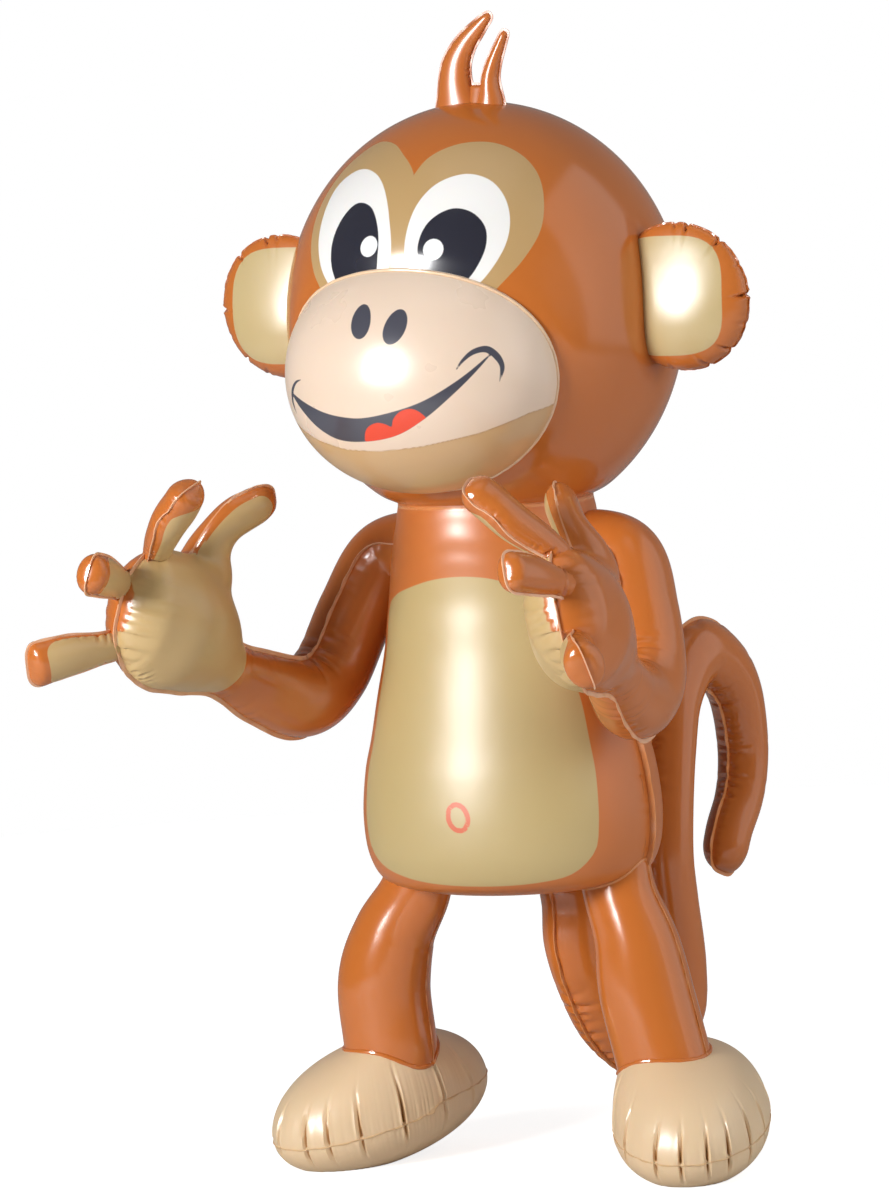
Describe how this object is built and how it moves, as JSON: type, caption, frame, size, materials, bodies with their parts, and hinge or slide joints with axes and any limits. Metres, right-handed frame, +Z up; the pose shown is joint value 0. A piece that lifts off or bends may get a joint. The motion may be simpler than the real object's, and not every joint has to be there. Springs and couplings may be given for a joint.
{
  "type": "inflatable monkey",
  "caption": "Standing inflatable vinyl monkey with a round head, printed face, open arms, bowed legs, rounded feet and a hooked tail.",
  "frame": {"origin": "on the ground, in the middle of the whole figure's footprint box", "axes": "+Z up the figure, -Y the way it faces, +X to its own left"},
  "size_m": [0.3464, 0.4628, 0.6423],
  "materials": {
    "orange_vinyl": "glossy soft PVC film",
    "peach_vinyl": "glossy soft PVC film, printed",
    "cream_vinyl": "glossy soft PVC film"
  },
  "bodies": {
    "root": {"head": "orange_vinyl", "muzzle": "peach_vinyl", "left_ear": "orange_vinyl", "right_ear": "orange_vinyl", "hair_tuft": "orange_vinyl", "torso": "orange_vinyl", "left_arm": "orange_vinyl", "right_arm": "orange_vinyl", "left_leg": "orange_vinyl", "right_leg": "orange_vinyl", "left_foot": "cream_vinyl", "right_foot": "cream_vinyl", "tail": "orange_vinyl"}
  },
  "joints": []
}
